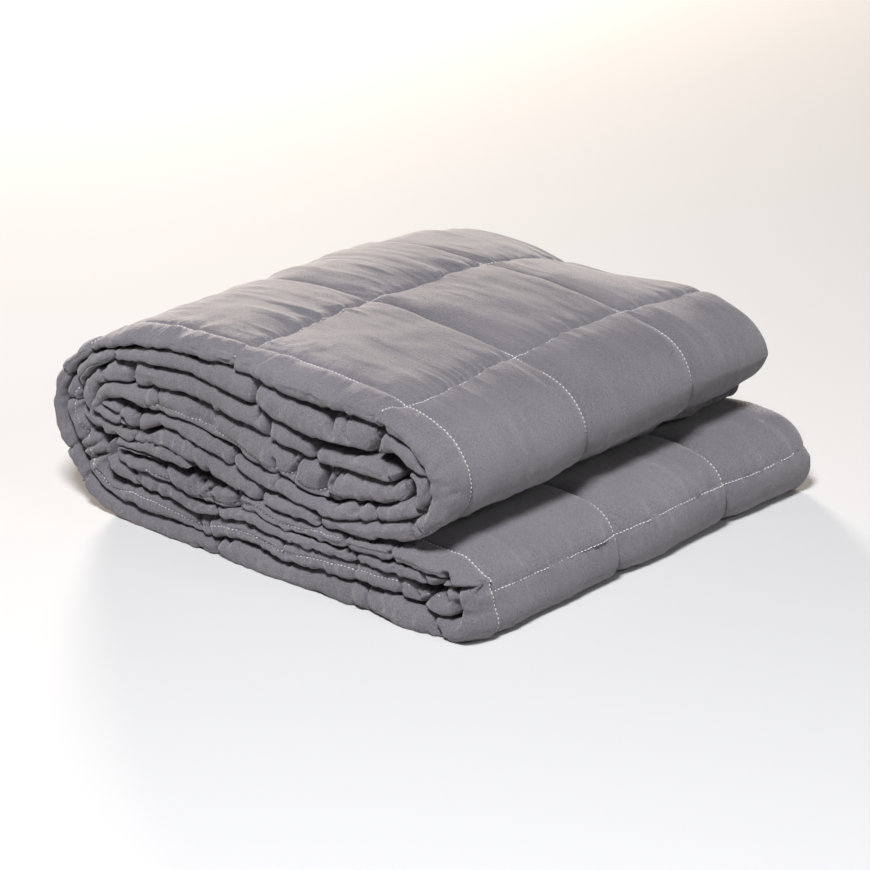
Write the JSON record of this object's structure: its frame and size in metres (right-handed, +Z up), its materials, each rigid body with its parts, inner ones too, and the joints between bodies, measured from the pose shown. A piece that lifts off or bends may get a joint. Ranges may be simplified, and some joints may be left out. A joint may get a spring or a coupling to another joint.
{
  "type": "weighted blanket",
  "caption": "Grey quilted weighted blanket, folded into a bundle of two soft rolls with a square-stitched top and a layered, open end.",
  "frame": {"origin": "centre of the underside's bounding box, on the surface that the bundle rests on", "axes": "+Z up; +X along the folded strip's passes, towards the notch between the two rolls; -Y towards the layers' free ends, +Y towards their folds"},
  "size_m": [0.3408, 0.334, 0.1316],
  "materials": {
    "quilted_cotton": "matte woven cotton, grey, with grey stitching"
  },
  "bodies": {
    "root": {"quilted_blanket": "quilted_cotton"}
  },
  "joints": []
}
